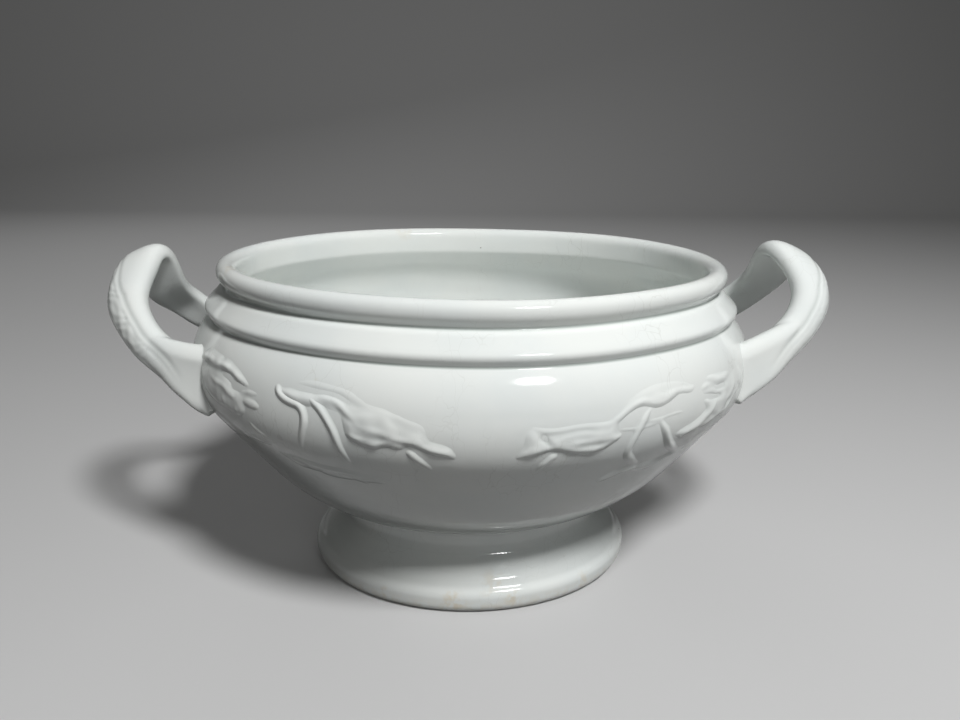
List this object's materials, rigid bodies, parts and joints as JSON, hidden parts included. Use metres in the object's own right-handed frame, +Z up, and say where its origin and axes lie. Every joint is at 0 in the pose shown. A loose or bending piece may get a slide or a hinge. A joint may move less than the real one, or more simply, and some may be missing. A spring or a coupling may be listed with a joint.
{
  "type": "soup tureen",
  "caption": "Oval pedestal soup tureen base in white glazed ironstone with looped strap handles and low leaf relief on the belly.",
  "frame": {"origin": "on the ground under the centre of the foot", "axes": "+X from the centre towards the right handle along the oval, +Y across it towards the rear, +Z up"},
  "size_m": [0.3594, 0.2332, 0.1729],
  "materials": {
    "bowl_glaze": "off-white glossy glaze over ironstone, finely crazed, with a few iron pits",
    "foot_glaze": "off-white glossy glaze, faint tan staining towards the rest ring",
    "handle_glaze": "off-white glossy glaze, pooled grey-green in the modelled grooves",
    "relief_glaze": "off-white glossy glaze, thin on the raised ribs and pooled around them"
  },
  "bodies": {
    "root": {"bowl": "bowl_glaze", "pedestal_foot": "foot_glaze", "left_handle": "handle_glaze", "right_handle": "handle_glaze", "leaf_spray_front_left": "relief_glaze", "leaf_spray_front_right": "relief_glaze", "leaf_spray_rear_left": "relief_glaze", "leaf_spray_rear_right": "relief_glaze", "twig_front_left": "relief_glaze", "twig_front_right": "relief_glaze", "twig_rear_left": "relief_glaze", "twig_rear_right": "relief_glaze", "root_leaf_front_left": "relief_glaze", "root_leaf_front_right": "relief_glaze", "root_leaf_rear_left": "relief_glaze", "root_leaf_rear_right": "relief_glaze"}
  },
  "joints": []
}
